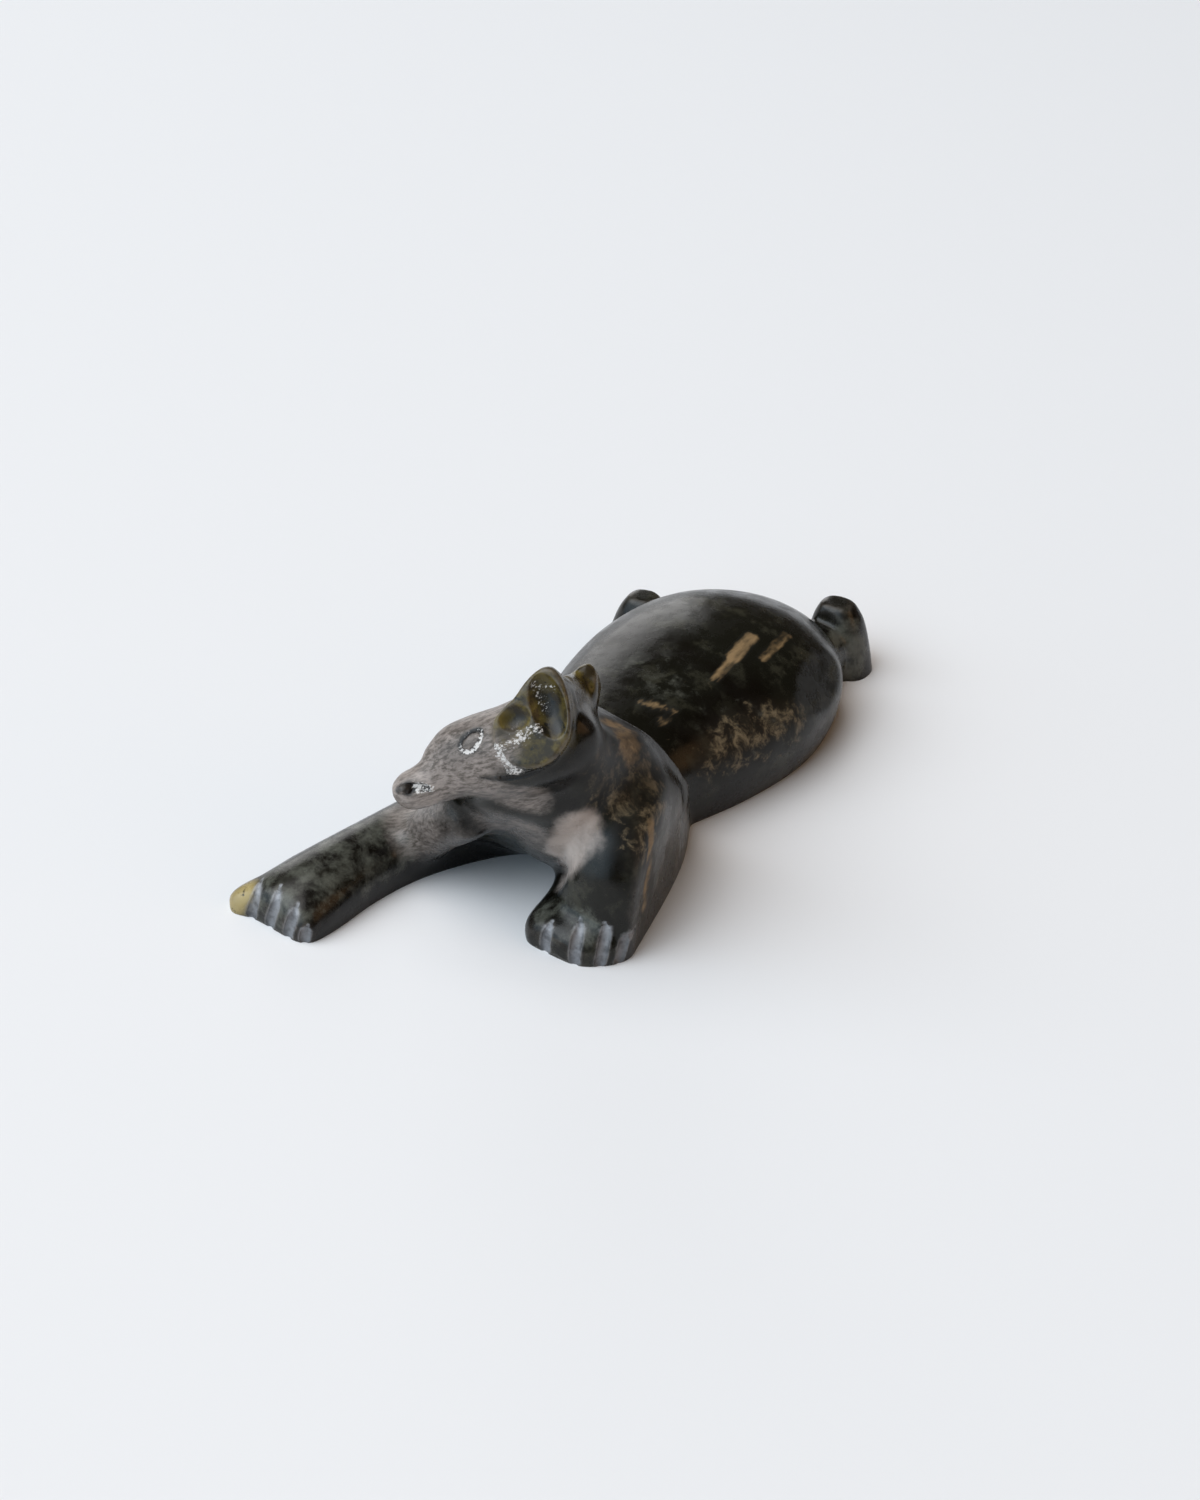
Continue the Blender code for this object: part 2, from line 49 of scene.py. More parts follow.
# the bear's limbs, in millimetres round a point under the small of the back, facing -Y
# a station is (x, y, z, left, right, up, down): a point inside the limb and how far the stone reaches from it
bear = {
    "ringSides": 28,
    "stepsPerStation": 5,
    "limbVoxel": 0.45,
    "bodyVoxel": 0.35,
    "headVoxel": 0.25,
    "fineVoxel": 0.17,
    # how much one round of smoothing does, and the rounds of it after each step
    "smoothing": 0.5,
    "frontPasses": 20,
    "rearPasses": 12,
    "joinPasses": 4,
    "skinPasses": 6,
    "scoopPasses": 3,
    "lineSmoothing": 0.4,
    "triangles": 188000,
    "torso": (
        (0.0, -14.0, 5.0, 7.6, 8.0, 5.0, 12.0),
        (0.0, -8.0, 5.0, 8.6, 9.2, 5.8, 12.0),
        (0.0, 0.0, 5.0, 11.4, 11.8, 6.8, 12.0),
        (0.0, 8.0, 5.0, 13.0, 12.8, 7.6, 12.0),
        (0.0, 15.0, 4.8, 12.5, 12.0, 7.4, 12.0),
        (0.0, 20.5, 4.4, 10.2, 9.6, 5.8, 11.0),
        (0.0, 25.0, 3.8, 5.8, 5.8, 3.4, 9.0),
        (0.0, 27.0, 3.2, 2.0, 2.0, 1.6, 4.0),
    ),
    "chest": (
        (0.8, -2.0, 5.0, 8.4, 9.0, 8.5, 11.0),
        (0.8, -8.0, 5.0, 9.8, 9.8, 11.0, 11.0),
        (0.8, -13.0, 5.0, 10.0, 9.8, 11.8, 12.0),
        (0.8, -16.4, 5.0, 8.8, 9.4, 10.6, 12.0),
        (0.8, -18.8, 5.0, 6.4, 7.4, 6.6, 9.0),
    ),
    "leftShoulder": (
        (5.0, -4.0, 5.0, 4.0, 4.0, 8.0, 9.0),
        (5.4, -9.0, 5.0, 5.4, 5.0, 11.4, 10.0),
        (5.6, -13.5, 5.0, 5.8, 5.0, 12.0, 10.0),
        (6.0, -17.0, 4.6, 5.2, 5.0, 9.0, 10.0),
        (6.6, -20.0, 3.6, 4.0, 4.0, 5.0, 8.0),
    ),
    "rightShoulder": (
        (-5.0, -4.0, 4.0, 4.6, 4.4, 4.0, 9.0),
        (-5.4, -9.0, 4.0, 5.0, 5.2, 5.0, 10.0),
        (-5.8, -13.5, 4.4, 5.0, 5.2, 6.2, 10.0),
        (-6.4, -18.0, 4.8, 5.0, 4.6, 7.0, 8.0),
        (-5.8, -21.8, 6.0, 4.4, 4.2, 5.0, 4.6),
        (-4.4, -25.4, 8.4, 3.4, 3.4, 3.4, 3.0),
    ),
    "leftArm": (
        (5.0, -9.0, 4.0, 5.6, 5.0, 6.0, 9.0),
        (6.8, -15.0, 3.6, 5.8, 5.0, 5.6, 9.0),
        (8.2, -19.5, 2.8, 5.8, 5.0, 4.0, 9.0),
        (9.4, -24.0, 1.8, 5.6, 5.0, 3.0, 7.0),
        (9.7, -27.4, 1.4, 5.8, 5.0, 2.5, 6.0),
        (9.5, -30.0, 1.0, 4.7, 4.8, 2.4, 4.0),
        (9.4, -31.8, 0.8, 2.7, 3.6, 1.6, 3.0),
    ),
    "upperArm": (
        (7.2, -13.0, 7.0, 3.4, 4.0, 3.0, 6.0),
        (8.3, -17.0, 8.0, 5.0, 3.4, 5.4, 7.5),
        (9.7, -20.6, 7.4, 6.0, 3.0, 7.7, 7.0),
        (10.4, -23.6, 5.2, 6.2, 3.2, 7.2, 6.0),
        (10.6, -26.4, 2.6, 5.6, 3.8, 4.8, 4.0),
        (10.4, -28.6, 1.0, 3.6, 3.6, 2.2, 2.0),
    ),
    "rightArm": (
        (-4.0, -12.0, 4.0, 5.0, 5.0, 6.0, 9.0),
        (-6.0, -17.0, 4.0, 5.0, 5.0, 5.0, 10.0),
        (-8.6, -22.0, 3.0, 4.4, 4.2, 3.6, 8.0),
        (-10.8, -28.0, 2.3, 3.7, 3.7, 3.5, 7.0),
        (-12.1, -34.0, 2.0, 3.7, 4.0, 3.4, 6.0),
        (-13.1, -39.0, 1.4, 4.4, 4.6, 3.4, 5.0),
        (-13.8, -42.2, 0.9, 4.6, 4.6, 2.9, 4.0),
        (-14.0, -43.6, 0.7, 4.0, 4.0, 1.4, 3.0),
    ),
    "outerToe": (
        (-13.5, -38.0, 1.4, 2.2, 2.2, 2.0, 4.0),
        (-16.6, -41.0, 1.0, 2.2, 2.2, 2.1, 3.0),
        (-19.2, -43.2, 0.4, 1.2, 1.2, 1.1, 3.0),
    ),
    "breast": (
        (-9.6, -28.2, 3.0, 2.4, 2.4, 1.4, 2.6),
        (-7.8, -27.9, 4.9, 2.8, 2.8, 1.8, 3.0),
        (-5.8, -28.4, 7.0, 2.8, 2.8, 2.6, 3.0),
        (-3.2, -29.6, 9.4, 2.8, 2.8, 2.6, 3.0),
        (-0.8, -30.7, 11.8, 2.6, 2.6, 2.4, 2.8),
    ),
    "neck": (
        (0.0, -11.0, 7.0, 8.0, 8.0, 8.0, 7.0),
        (1.0, -16.0, 9.6, 8.0, 7.6, 7.0, 9.0),
        (3.2, -21.0, 12.2, 6.8, 7.0, 6.4, 9.0),
        (5.4, -26.0, 15.6, 5.2, 6.2, 5.4, 6.0),
        (6.6, -29.2, 18.0, 4.4, 4.6, 4.0, 3.6),
    ),
    "nape": (
        (6.0, -13.0, 9.0, 4.5, 4.5, 4.5, 5.0),
        (7.4, -18.0, 12.2, 3.6, 4.4, 4.2, 5.0),
        (8.0, -23.0, 15.6, 2.6, 4.0, 3.6, 5.0),
        (8.0, -26.6, 18.8, 2.5, 3.4, 3.0, 4.0),
        (8.4, -28.2, 21.4, 2.5, 2.6, 3.2, 3.0),
    ),
    "throat": (
        (-2.5, -14.0, 4.0, 7.0, 6.5, 6.0, 6.0),
        (-2.2, -18.6, 6.5, 8.0, 6.6, 4.6, 6.0),
        (-1.0, -23.5, 10.2, 7.6, 6.0, 3.8, 5.0),
        (0.4, -28.6, 14.4, 6.8, 5.0, 3.2, 4.0),
        (0.6, -31.4, 16.6, 4.8, 3.8, 2.0, 3.0),
    ),
    "leftShank": (
        (2.5, 17.0, 3.6, 4.5, 4.5, 4.2, 7.0),
        (4.0, 23.0, 3.0, 3.6, 3.4, 3.4, 6.0),
        (4.6, 27.5, 2.6, 3.0, 2.8, 2.8, 6.0),
    ),
    "rightShank": (
        (-7.0, 10.0, 3.5, 4.0, 4.0, 4.0, 7.0),
        (-10.0, 14.0, 3.0, 3.4, 3.4, 3.4, 6.0),
        (-12.6, 17.4, 2.6, 2.6, 2.6, 2.8, 6.0),
    ),
    # hind feet stand on end: lofted along -Y, then stood up on their soles
    "leftFoot": (
        (0.0, 1.5, 0.0, 4.0, 3.3, 2.8, 2.9),
        (0.0, 0.0, 0.0, 4.0, 3.3, 2.8, 2.9),
        (0.0, -2.4, 0.0, 3.5, 3.1, 2.5, 2.6),
        (-0.3, -5.6, 0.0, 2.8, 2.6, 2.2, 2.2),
        (-0.4, -7.6, 0.0, 1.7, 1.7, 1.4, 1.4),
    ),
    "rightFoot": (
        (0.0, 1.5, 0.0, 3.4, 3.9, 3.1, 2.8),
        (0.0, 0.0, 0.0, 3.4, 3.9, 3.1, 2.8),
        (0.2, -2.4, 0.0, 3.1, 3.3, 2.6, 2.5),
        (0.3, -5.2, 0.0, 2.6, 2.5, 2.2, 2.2),
        (0.3, -7.0, 0.0, 1.6, 1.5, 1.4, 1.4),
    ),
    # one flat is taken off the left hip
    "hipFlat": ((9.7, 11.0, 10.0), (0.80, 0.15, 0.58)),
    "leftSole": (5.0, 29.0, 0.0),
    "rightSole": (-13.2, 18.6, 0.0),
    "footSquareness": 2.6,
    # the shoulders end behind in a sloping plane, the left arm outside in an upright wall along this line
    "shoulderBack": ((0.0, -6.4, 0.0), (0.0, 0.865, 0.50)),
    "armWall": ((6.4, -2.0), (8.3, -6.0), (10.9, -11.5), (12.9, -18.1), (15.1, -27.4), (17.0, -35.0)),
    "wallFarCorners": [(30.0, -40.0), (30.0, 5.0)],
    "wallHeight": (-5.0, 35.0),
    # spots where the stone flows from one limb into the next, or a corner is rubbed down, and how far round each
    "eased": (
        ((-6.1, -19.6, 11.2), 3.4),
        ((6.9, -28.0, 27.7), 1.6),
        ((5.7, -21.2, 24.9), 2.2),
        ((6.4, -23.3, 26.0), 1.3),
        ((-1.5, -29.5, 14.5), 6.0),
        ((4.5, -31.0, 16.5), 6.0),
        ((9.5, -25.0, 18.5), 6.5),
        ((9.6, -24.0, 8.5), 6.0),
        ((-4.0, -26.5, 8.5), 6.0),
        ((11.3, -21.6, 12.8), 5.5),
        ((10.2, -25.2, 11.0), 5.0),
        ((-5.4, -30.0, 8.6), 5.0),
        ((-9.0, -29.0, 4.5), 4.0),
        ((9.9, -27.4, 18.9), 4.6),
        ((7.6, -30.4, 16.3), 4.5),
        ((9.9, -27.2, 22.3), 3.0),
        ((11.6, -17.6, 11.4), 3.0),
        ((10.9, -21.4, 15.0), 4.6),
        ((9.4, -25.4, 21.4), 3.5),
        ((-0.5, -34.0, 14.8), 3.6),
    ),
    "easingPasses": 60,
}

# the head, shaped facing -Y about a point between the ears, then turned, tipped and cocked
head = {
    "centre": (5.6, -28.9, 21.2),
    "forward": (-0.800, -0.444, -0.404),
    "up": (-0.557, 0.263, 0.788),
    "skull": (
        (0.0, 3.9, 1.6, 2.2, 2.2, 1.6, 3.0),
        (0.0, 3.2, 1.2, 3.4, 3.4, 3.1, 4.4),
        (0.0, 1.6, 0.8, 4.3, 4.3, 3.6, 5.2),
        (0.0, 0.0, 0.4, 4.5, 4.5, 3.7, 5.4),
        (0.0, -3.0, 0.0, 4.3, 4.3, 3.7, 4.8),
        (0.0, -6.0, 0.0, 3.6, 3.6, 3.6, 4.0),
        (0.0, -8.2, -0.2, 2.9, 2.9, 3.5, 3.4),
        (0.0, -9.6, -0.5, 2.3, 2.3, 2.9, 3.0),
        (0.0, -11.0, -1.0, 1.9, 1.9, 2.2, 2.6),
        (0.0, -12.6, -1.2, 1.9, 1.9, 1.8, 2.15),
        (0.0, -14.0, -1.1, 1.6, 1.6, 1.5, 1.85),
        (0.0, -15.0, -0.9, 0.8, 0.8, 0.7, 0.8),
    ),
    # side outline of each ear with the cheek under it, and from where to where across the head it reaches
    "leftEar": ((-3.4, 0.4), (-3.1, 2.2), (-1.9, 3.2), (-0.7, 3.75), (0.4, 4.6), (1.6, 5.35), (2.8, 5.7), (3.6, 5.3),
                (4.05, 4.3), (4.2, 3.1), (4.1, 1.8), (3.8, 0.4), (3.2, -0.9), (1.9, -2.1), (0.6, -2.6), (-0.8, -2.6),
                (-2.4, -1.8)),
    "leftEarReach": (2.5, 4.9),
    # the low web of stone between the two ears
    "web": ((1.2, 1.6), (1.8, 3.5), (2.5, 4.4), (3.3, 4.6), (4.0, 4.2), (4.3, 3.2), (4.1, 1.0), (2.4, 0.2)),
    "webReach": (-3.2, 3.0),
    "rightEar": ((-1.0, 2.0), (0.6, 3.4), (2.0, 4.2), (3.4, 4.7), (4.3, 5.3), (4.9, 5.4), (5.3, 4.6), (5.2, 3.2),
                 (4.7, 1.8), (4.1, 0.4), (3.4, -0.9), (2.0, -2.1), (0.6, -2.6), (-0.8, -2.6), (-2.0, -1.2)),
    "rightEarReach": (-4.9, -2.4),
    "outlineSteps": 4,
    "passes": 3,
    # scooped out of both ears and the left cheek: the radii of each scoop, then its place
    "scoops": (
        ((2.2, 1.95, 3.6), (6.1, 2.25, 2.3)),
        ((3.0, 2.5, 2.0), (7.25, -0.95, 2.1)),
        ((2.2, 1.95, 3.6), (-6.1, 2.25, 2.3)),
    ),
    # the eye is a tilted oval line: its middle, then its long and short half-widths, on the side of the head
    "eye": ((-5.85, 1.40), (1.10, 0.62), (0.52, -0.78)),
    "eyeOut": 3.4,
    "eyeSamples": 72,
    "eyeLine": 0.30,
    "eyeDepth": 0.17,
    # how the line round the eye swells and thins: by how much, how often and where it starts
    "eyeWobble": ((0.22, 3, 1), (0.15, 7, 0)),
    # a shallow step under the cheek: its path, its half width and depth, and how much of each end is left off
    "jaw": ((3.0, -6.2, -2.0), (3.2, -4.2, -2.6), (3.4, -2.3, -2.9), (3.7, -0.7, -2.9), (4.1, 1.9, -2.2)),
    "jawLine": (0.34, 0.24),
    "jawTrim": 0.06,
    "jawSteps": 16,
    # nostril and mouth in one long gouge: x, y, z and half width
    "nostril": ((1.6, -14.3, -1.0, 0.26), (1.8, -13.3, -1.15, 0.52), (1.9, -12.2, -1.35, 0.52),
                (1.9, -11.0, -1.85, 0.26)),
    "nostrilDepth": 0.40,
    "nostrilSteps": 8,
}

# carved lines on the paws: three points from the back of the paw down its front
paws = {
    "grooves": (
        ((-16.5, -41.3, 3.0), (-16.1, -43.1, 2.3), (-16.4, -43.6, 0.4)),
        ((-14.0, -41.8, 3.6), (-13.6, -43.5, 2.6), (-14.2, -43.8, 0.4)),
        ((-11.6, -42.5, 3.1), (-11.5, -43.7, 2.1), (-11.9, -44.0, 0.4)),
        ((-10.0, -43.2, 1.9), (-9.9, -43.7, 1.2), (-10.0, -43.8, 0.4)),
        ((8.4, -30.6, 2.8), (8.4, -31.3, 1.8), (8.3, -31.7, 0.4)),
        ((10.8, -29.5, 3.6), (11.4, -31.2, 2.7), (11.6, -32.0, 0.4)),
        ((12.6, -27.8, 3.7), (13.5, -29.8, 2.9), (14.0, -31.1, 0.4)),
        ((14.1, -27.2, 3.1), (14.8, -28.6, 2.3), (15.2, -29.4, 0.4)),
    ),
    "halfWidth": 0.56,
    "depth": 0.44,
    # a groove starts at this part of its width and widens this fast along its length
    "taper": (0.25, 1.5),
    "steps": 12,
}


def smoothCurve(values, steps):
    rows = np.array(values, dtype=float)
    rows = np.vstack((2 * rows[0] - rows[1], rows, 2 * rows[-1] - rows[-2]))
    spread = []
    for a, b, c, d in zip(rows, rows[1:], rows[2:], rows[3:]):
        for t in np.arange(steps) / steps:
            spread.append(0.5 * (2 * b + (c - a) * t + (2 * a - 5 * b + 4 * c - d) * t * t
                                 + (3 * b - a - 3 * c + d) * t ** 3))
    spread.append(rows[-2])
    return np.array(spread)


def newObject(name, bm):
    mesh = bpy.data.meshes.new(name)
    bm.to_mesh(mesh)
    bm.free()
    obj = bpy.data.objects.new(name, mesh)
    bpy.context.scene.collection.objects.link(obj)
    return obj


def loftLimb(bm, stations, place=Matrix(), square=2.0):
    # a closed limb: one ring of the given reaches at every station and a few between, bridged
    rows = smoothCurve(stations, bear["stepsPerStation"])
    centres = [Vector(row[:3]) for row in rows]
    rings = []
    for i, (row, centre) in enumerate(zip(rows, centres)):
        ahead = (centres[min(i + 1, len(rows) - 1)] - centres[max(i - 1, 0)]).normalized()
        side = Vector((0, 0, 1)).cross(ahead).normalized()
        if ahead.y > 0:
            side = -side
        up = side.cross(ahead).normalized()
        if up.z < 0:
            up = -up
        left, right, high, low = row[3:]
        verts = bmesh.ops.create_circle(bm, segments=bear["ringSides"], radius=1.0)["verts"]
        for vert in verts:
            x, y = (abs(v) ** (2 / square) * (1 if v > 0 else -1) for v in vert.co.xy)
            vert.co = place @ (centre + side * (x * (left if x > 0 else right)) + up * (y * (high if y > 0 else low)))
        rings.append(list({edge for vert in verts for edge in vert.link_edges}))
    for a, b in zip(rings, rings[1:]):
        bmesh.ops.bridge_loops(bm, edges=a + b)
    for ring in (rings[0], rings[-1]):
        bmesh.ops.edgeloop_fill(bm, edges=ring)
    bmesh.ops.recalc_face_normals(bm, faces=bm.faces)


def stretchOutline(bm, outline, low, high, across, up, place=Matrix()):
    # an outline drawn on two axes, stretched along the third from low to high
    axis = across.cross(up)
    verts = [bm.verts.new(place @ (across * a + up * b + axis * low)) for a, b in outline]
    made = bmesh.ops.extrude_face_region(bm, geom=[bm.faces.new(verts)])["geom"]
    moved = [item for item in made if isinstance(item, bmesh.types.BMVert)]
    bmesh.ops.translate(bm, verts=moved, vec=place.to_3x3() @ (axis * (high - low)))
    bmesh.ops.recalc_face_normals(bm, faces=bm.faces)


def shapeWith(obj, kind, **settings):
    modifier = obj.modifiers.new(kind, kind)
    for name, value in settings.items():
        setattr(modifier, name, value)
    mesh = bpy.data.meshes.new_from_object(obj.evaluated_get(bpy.context.evaluated_depsgraph_get()))
    obj.modifiers.clear()
    obj.data = mesh


def joinTo(obj, other, operation):
    shapeWith(obj, "BOOLEAN", operation=operation, object=other, solver="EXACT")
    bpy.data.objects.remove(other)


def smoothOver(obj, passes, factor=bear["smoothing"], **only):
    shapeWith(obj, "SMOOTH", factor=factor, iterations=passes, **only)


def evenOut(obj, voxel, passes):
    shapeWith(obj, "REMESH", mode="VOXEL", voxel_size=voxel)
    if passes:
        smoothOver(obj, passes)


def easeSpot(obj, spot, reach, passes):
    # smooths the skin round one spot, fully near it and fading out at its reach
    group = obj.vertex_groups.new(name="ease")
    for vert in obj.data.vertices:
        near = 1 - (vert.co - Vector(spot)).length / reach
        if near > 0:
            group.add([vert.index], min(1.0, 2 * near), "REPLACE")
    smoothOver(obj, passes, vertex_group="ease")
    obj.vertex_groups.clear()


def cutFlat(obj, point, normal):
    # takes off all the stone on the side of a plane that its normal points to, and closes the cut
    bm = bmesh.new()
    bm.from_mesh(obj.data)
    bmesh.ops.bisect_plane(bm, geom=bm.verts[:] + bm.edges[:] + bm.faces[:], plane_co=Vector(point),
                           plane_no=Vector(normal), clear_outer=True)
    filled = bmesh.ops.holes_fill(bm, edges=[e for e in bm.edges if e.is_boundary])["faces"]
    bmesh.ops.triangulate(bm, faces=filled)
    bm.to_mesh(obj.data)
    bm.free()


forward = Vector(head["forward"]).normalized()
toLeft = Vector(head["up"]).cross(forward).normalized()
headTurn = Matrix((toLeft, -forward, forward.cross(toLeft))).transposed().to_4x4()
headPlace = Matrix.Translation(head["centre"]) @ headTurn


def makeFront():
    bm = bmesh.new()
    for limb in ("chest", "leftShoulder", "rightShoulder", "leftArm", "rightArm", "outerToe", "upperArm", "breast",
                 "neck", "nape", "throat"):
        loftLimb(bm, bear[limb])
    front = newObject("front", bm)
    evenOut(front, bear["limbVoxel"], bear["frontPasses"])
    cutFlat(front, *bear["shoulderBack"])
    wall = bmesh.new()
    line = [tuple(point) for point in smoothCurve(bear["armWall"], bear["stepsPerStation"])]
    stretchOutline(wall, line + bear["wallFarCorners"], *bear["wallHeight"], Vector((1, 0, 0)), Vector((0, 1, 0)))
    joinTo(front, newObject("wall", wall), "DIFFERENCE")
    return front


def makeRear():
    bm = bmesh.new()
    for limb in ("torso", "leftShank", "rightShank"):
        loftLimb(bm, bear[limb])
    rear = newObject("rear", bm)
    evenOut(rear, bear["limbVoxel"], bear["rearPasses"])
    cutFlat(rear, *bear["hipFlat"])
    upright = Matrix(((1, 0, 0), (0, 0, -1), (0, -1, 0))).to_4x4()
    feet = bmesh.new()
    for side in ("left", "right"):
        loftLimb(feet, bear[side + "Foot"], Matrix.Translation(bear[side + "Sole"]) @ upright, bear["footSquareness"])
    joinTo(rear, newObject("feet", feet), "UNION")
    return rear


def makeHead():
    bm = bmesh.new()
    loftLimb(bm, head["skull"], headPlace)
    for ear in ("leftEar", "web", "rightEar"):
        outline = [tuple(point) for point in smoothCurve(head[ear] + head[ear][:1], head["outlineSteps"])[:-1]]
        stretchOutline(bm, outline, *head[ear + "Reach"], Vector((0, 1, 0)), Vector((0, 0, 1)), headPlace)
    made = newObject("head", bm)
    evenOut(made, bear["headVoxel"], head["passes"])
    return made


body = makeFront()
joinTo(body, makeRear(), "UNION")
evenOut(body, bear["bodyVoxel"], bear["joinPasses"])
print("body and limbs roughed out:", len(body.data.vertices), "vertices")

joinTo(body, makeHead(), "UNION")
evenOut(body, bear["fineVoxel"], 0)
finer = (bear["bodyVoxel"] / bear["fineVoxel"]) ** 2  # a finer skin needs more passes for the same easing
for spot, reach in bear["eased"]:
    easeSpot(body, spot, reach, round(bear["easingPasses"] * finer))
smoothOver(body, bear["skinPasses"])
print("head joined and skin evened out:", len(body.data.vertices), "vertices")


def pointsOf(obj):
    points = np.empty(len(obj.data.vertices) * 3)
    obj.data.vertices.foreach_get("co", points)
    return points.reshape(-1, 3)


def setPoints(obj, points):
    obj.data.vertices.foreach_set("co", points.ravel())
    obj.data.update()


def cutScoop(points, radii, centre):
    # points inside a rounded cutter are pushed out to its surface, as a gouge takes stone away
    away = headPlace.inverted()
    turn, shift = np.array(away.to_3x3()), np.array(away.translation)
    local = (points @ turn.T + shift - centre) / radii
    reach = np.linalg.norm(local, axis=1)
    inside = (reach < 1) & (reach > 0)
    local[inside] /= reach[inside, None]
    back = (local[inside] * radii + centre - shift) @ turn
    points[inside] = back


def nearestOn(points, path):
    # for each point: the nearest sample of a path and how far it is
    best = np.full(len(points), np.inf)
    which = np.zeros(len(points), dtype=int)
    for i, sample in enumerate(path):
        far = np.linalg.norm(points - sample[:3], axis=1)
        nearer = far < best
        best[nearer] = far[nearer]
        which[nearer] = i
    return best, which


def cutGroove(points, path, halfWidths, depths, outward):
    # a round-bottomed groove: a ball of changing size drawn along the path, just above the surface
    margin = 2.0
    low, high = path.min(axis=0) - margin, path.max(axis=0) + margin
    near = np.where(((points > low) & (points < high)).all(axis=1))[0]
    sizes = (halfWidths ** 2 + depths ** 2) / (2 * depths)
    centres = path + outward * (sizes - depths)[:, None]
    local = points[near]
    for centre, size in zip(centres, sizes):
        away = local - centre
        far = np.linalg.norm(away, axis=1)
        inside = (far < size) & (far > 0)
        local[inside] = centre + away[inside] / far[inside, None] * size
    points[near] = local


def surfaceOf(obj):
    bm = bmesh.new()
    bm.from_mesh(obj.data)
    tree = BVHTree.FromBMesh(bm)
    bm.free()
    return tree


def onSurface(tree, path):
    # every point of a path moved to the nearest place on the stone, and the way out of the stone there
    found = [tree.find_nearest(Vector(point)) for point in path]
    return np.array([spot[0] for spot in found]), np.array([spot[1] for spot in found])


points = pointsOf(body)
for radii, centre in head["scoops"]:
    cutScoop(points, np.array(radii), np.array(centre))
setPoints(body, points)
smoothOver(body, bear["scoopPasses"])
skin = surfaceOf(body)

linePaths = {"eye": [], "jaw": [], "nostril": [], "toe": []}
middle, wide, tall = (np.array(pair) for pair in head["eye"])
for side in (1, -1):
    ring = []
    for turn in np.linspace(0, 2 * pi, head["eyeSamples"], endpoint=False):
        y, z = middle + wide * cos(turn) + tall * sin(turn)
        ring.append(headPlace @ Vector((side * head["eyeOut"], y, z)))
    linePaths["eye"].append(onSurface(skin, ring))
    gouge = smoothCurve(head["nostril"], head["nostrilSteps"])
    spots = [headPlace @ Vector((side * x, y, z)) for x, y, z, _ in gouge]
    linePaths["nostril"].append((*onSurface(skin, spots), gouge[:, 3]))
jaw = [headPlace @ Vector(place) for place in smoothCurve(head["jaw"], head["jawSteps"])]
linePaths["jaw"].append(onSurface(skin, jaw))
for groove in paws["grooves"]:
    linePaths["toe"].append(onSurface(skin, smoothCurve(groove, paws["steps"])))

points = pointsOf(body)
for path, outward in linePaths["eye"]:
    turns = np.linspace(0, 2 * pi, len(path), endpoint=False)
    swell = sum((much * np.sin(often * turns + start) for much, often, start in head["eyeWobble"]), 1)
    widths = head["eyeLine"] * swell
    cutGroove(points, path, widths, head["eyeDepth"], outward)
for path, outward in linePaths["jaw"]:
    halfWidth, depth = head["jawLine"]
    taper = np.sin(pi * np.linspace(head["jawTrim"], 1 - head["jawTrim"], len(path)))
    cutGroove(points, path, halfWidth * taper, depth, outward)
for path, outward, widths in linePaths["nostril"]:
    cutGroove(points, path, widths, head["nostrilDepth"], outward)
for path, outward in linePaths["toe"]:
    start, widening = paws["taper"]
    taper = np.clip(start + widening * np.linspace(0, 1, len(path)), 0, 1)
    cutGroove(points, path, paws["halfWidth"] * taper, paws["depth"] * taper, outward)
setPoints(body, points)
smoothOver(body, 1, bear["lineSmoothing"])
print("scoops, eyes, nostrils and toes carved")

cutFlat(body, (0, 0, 0), (0, 0, -1))
body.data.calc_loop_triangles()
shapeWith(body, "DECIMATE", ratio=min(1.0, bear["triangles"] / len(body.data.loop_triangles)))
low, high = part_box("bear_carving")
points = pointsOf(body)
shift = (Vector(low) + Vector(high)) / 2 - Vector((points.min(axis=0) + points.max(axis=0)) / 2) * mm
shift.z = 0
toFrame = Matrix.Translation(shift) @ Matrix.Scale(mm, 4)
print("base cut flat:", len(body.data.polygons), "faces, shift", tuple(round(v / mm, 2) for v in shift), "mm")


